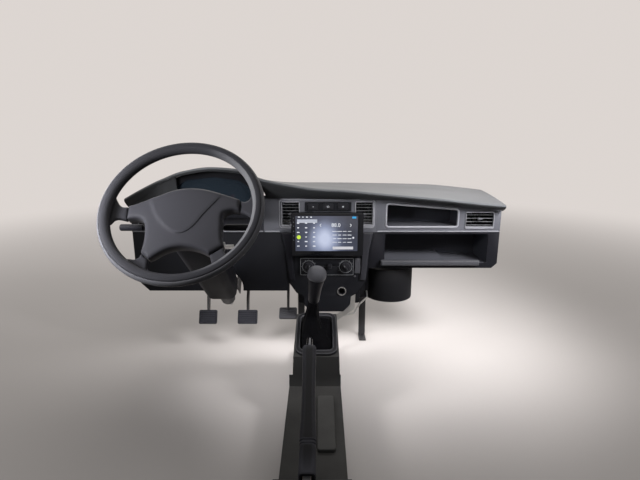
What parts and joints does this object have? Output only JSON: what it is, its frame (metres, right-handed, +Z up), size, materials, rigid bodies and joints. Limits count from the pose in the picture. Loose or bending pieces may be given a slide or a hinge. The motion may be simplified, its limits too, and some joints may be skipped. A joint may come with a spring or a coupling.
{
  "type": "van dashboard assembly",
  "caption": "Van dashboard on its steel cross beam, with steering column and wheel, pedals, centre stack with screen, and a floor console with gear lever and handbrake.",
  "frame": {"origin": "middle of the four bolt holes of the cross beam's end brackets, on their front faces", "axes": "+X to the passenger's side, +Y forwards to the bulkhead, +Z up"},
  "size_m": [1.2, 1.115, 0.7348],
  "materials": {
    "beam_paint": "satin black paint",
    "shaft_steel": "plain steel",
    "plated_steel": "zinc plated sheet",
    "pad_plastic": "fine grain, dark grey",
    "fascia_plastic": "fine grain, mid grey",
    "dark_plastic": "fine grain, charcoal",
    "vent_plastic": "smooth charcoal",
    "button_plastic": "smooth",
    "screen_gloss": "gloss black",
    "clear_lens": "clear acrylic",
    "dial_face": "matt print",
    "duct_plastic": "plain moulding",
    "lock_metal": "cast, satin",
    "wheel_foam": "grained foam skin",
    "pedal_steel": "bare pressed steel",
    "surround_plastic": "satin grey",
    "gaiter_leather": "soft, folded",
    "knob_plastic": "smooth, worn",
    "grip_rubber": "grained",
    "button_chrome": "bright"
  },
  "bodies": {
    "body": {"cross_beam": "beam_paint", "end_bracket_left": "beam_paint", "end_bracket_right": "beam_paint", "centre_stays": "beam_paint", "column_bracket": "beam_paint", "pedal_bracket": "beam_paint", "column_jacket": "beam_paint", "top_pad": "pad_plastic", "end_caps": "dark_plastic", "side_vents": "vent_plastic", "centre_vents": "vent_plastic", "fascia_passenger": "fascia_plastic", "fascia_centre": "fascia_plastic", "fascia_driver": "fascia_plastic", "pocket_box": "dark_plastic", "cluster_bezel": "dark_plastic", "cluster_lens": "clear_lens", "cluster_housing": "dark_plastic", "cluster_dials": "dial_face", "switch_panel": "dark_plastic", "rocker_switches": "button_plastic", "head_unit_box": "plated_steel", "head_unit_screen": "screen_gloss", "centre_stack": "dark_plastic", "stack_trims": "fascia_plastic", "heater_panel": "dark_plastic", "heater_controls": "button_plastic", "power_socket": "button_plastic", "knee_panel": "dark_plastic", "passenger_face": "dark_plastic", "glove_tray": "dark_plastic", "tray_lip": "dark_plastic", "heater_case": "duct_plastic", "blower": "duct_plastic", "air_ducts": "duct_plastic", "stalk_switch": "dark_plastic", "shroud_upper": "dark_plastic", "shroud_lower": "dark_plastic", "stalk_lights": "button_plastic", "stalk_wipers": "button_plastic", "ignition_lock": "lock_metal", "stack_brace": "plated_steel", "console": "dark_plastic", "console_lid": "dark_plastic", "gear_surround": "surround_plastic", "gear_gaiter": "gaiter_leather", "gear_knob": "knob_plastic", "handbrake_bracket": "beam_paint"},
    "steering": {"column_shaft": "shaft_steel", "wheel_boss": "shaft_steel", "wheel_rim": "wheel_foam", "wheel_pad": "wheel_foam"},
    "clutch": {"pedal_clutch": "pedal_steel"},
    "brake": {"pedal_brake": "pedal_steel"},
    "accelerator": {"pedal_accelerator": "pedal_steel"},
    "handbrake": {"handbrake_lever": "beam_paint", "handbrake_grip": "grip_rubber", "handbrake_button": "button_chrome"}
  },
  "joints": [
    {"name": "steering_turn", "type": "hinge", "parent": "body", "child": "steering", "pos_m": [-0.304, -0.639, 0.1576], "axis": [0, -0.757, 0.6534], "range_deg": [-630, 630]},
    {"name": "clutch_press", "type": "hinge", "parent": "body", "child": "clutch", "pos_m": [-0.378, -0.072, -0.078], "axis": [1, 0, 0], "range_deg": [0, 20], "stiffness_Nm_per_rad": 20, "springref_deg": -11.46},
    {"name": "brake_press", "type": "hinge", "parent": "body", "child": "brake", "pos_m": [-0.24, -0.072, -0.078], "axis": [1, 0, 0], "range_deg": [0, 14], "stiffness_Nm_per_rad": 25, "springref_deg": -11.46},
    {"name": "accelerator_press", "type": "hinge", "parent": "body", "child": "accelerator", "pos_m": [-0.1, -0.072, -0.078], "axis": [1, 0, 0], "range_deg": [0, 16], "stiffness_Nm_per_rad": 8, "springref_deg": -14.32},
    {"name": "handbrake_lift", "type": "hinge", "parent": "body", "child": "handbrake", "pos_m": [-0.0085, -1.069, -0.235], "axis": [1, 0, 0], "range_deg": [0, 35]}
  ]
}
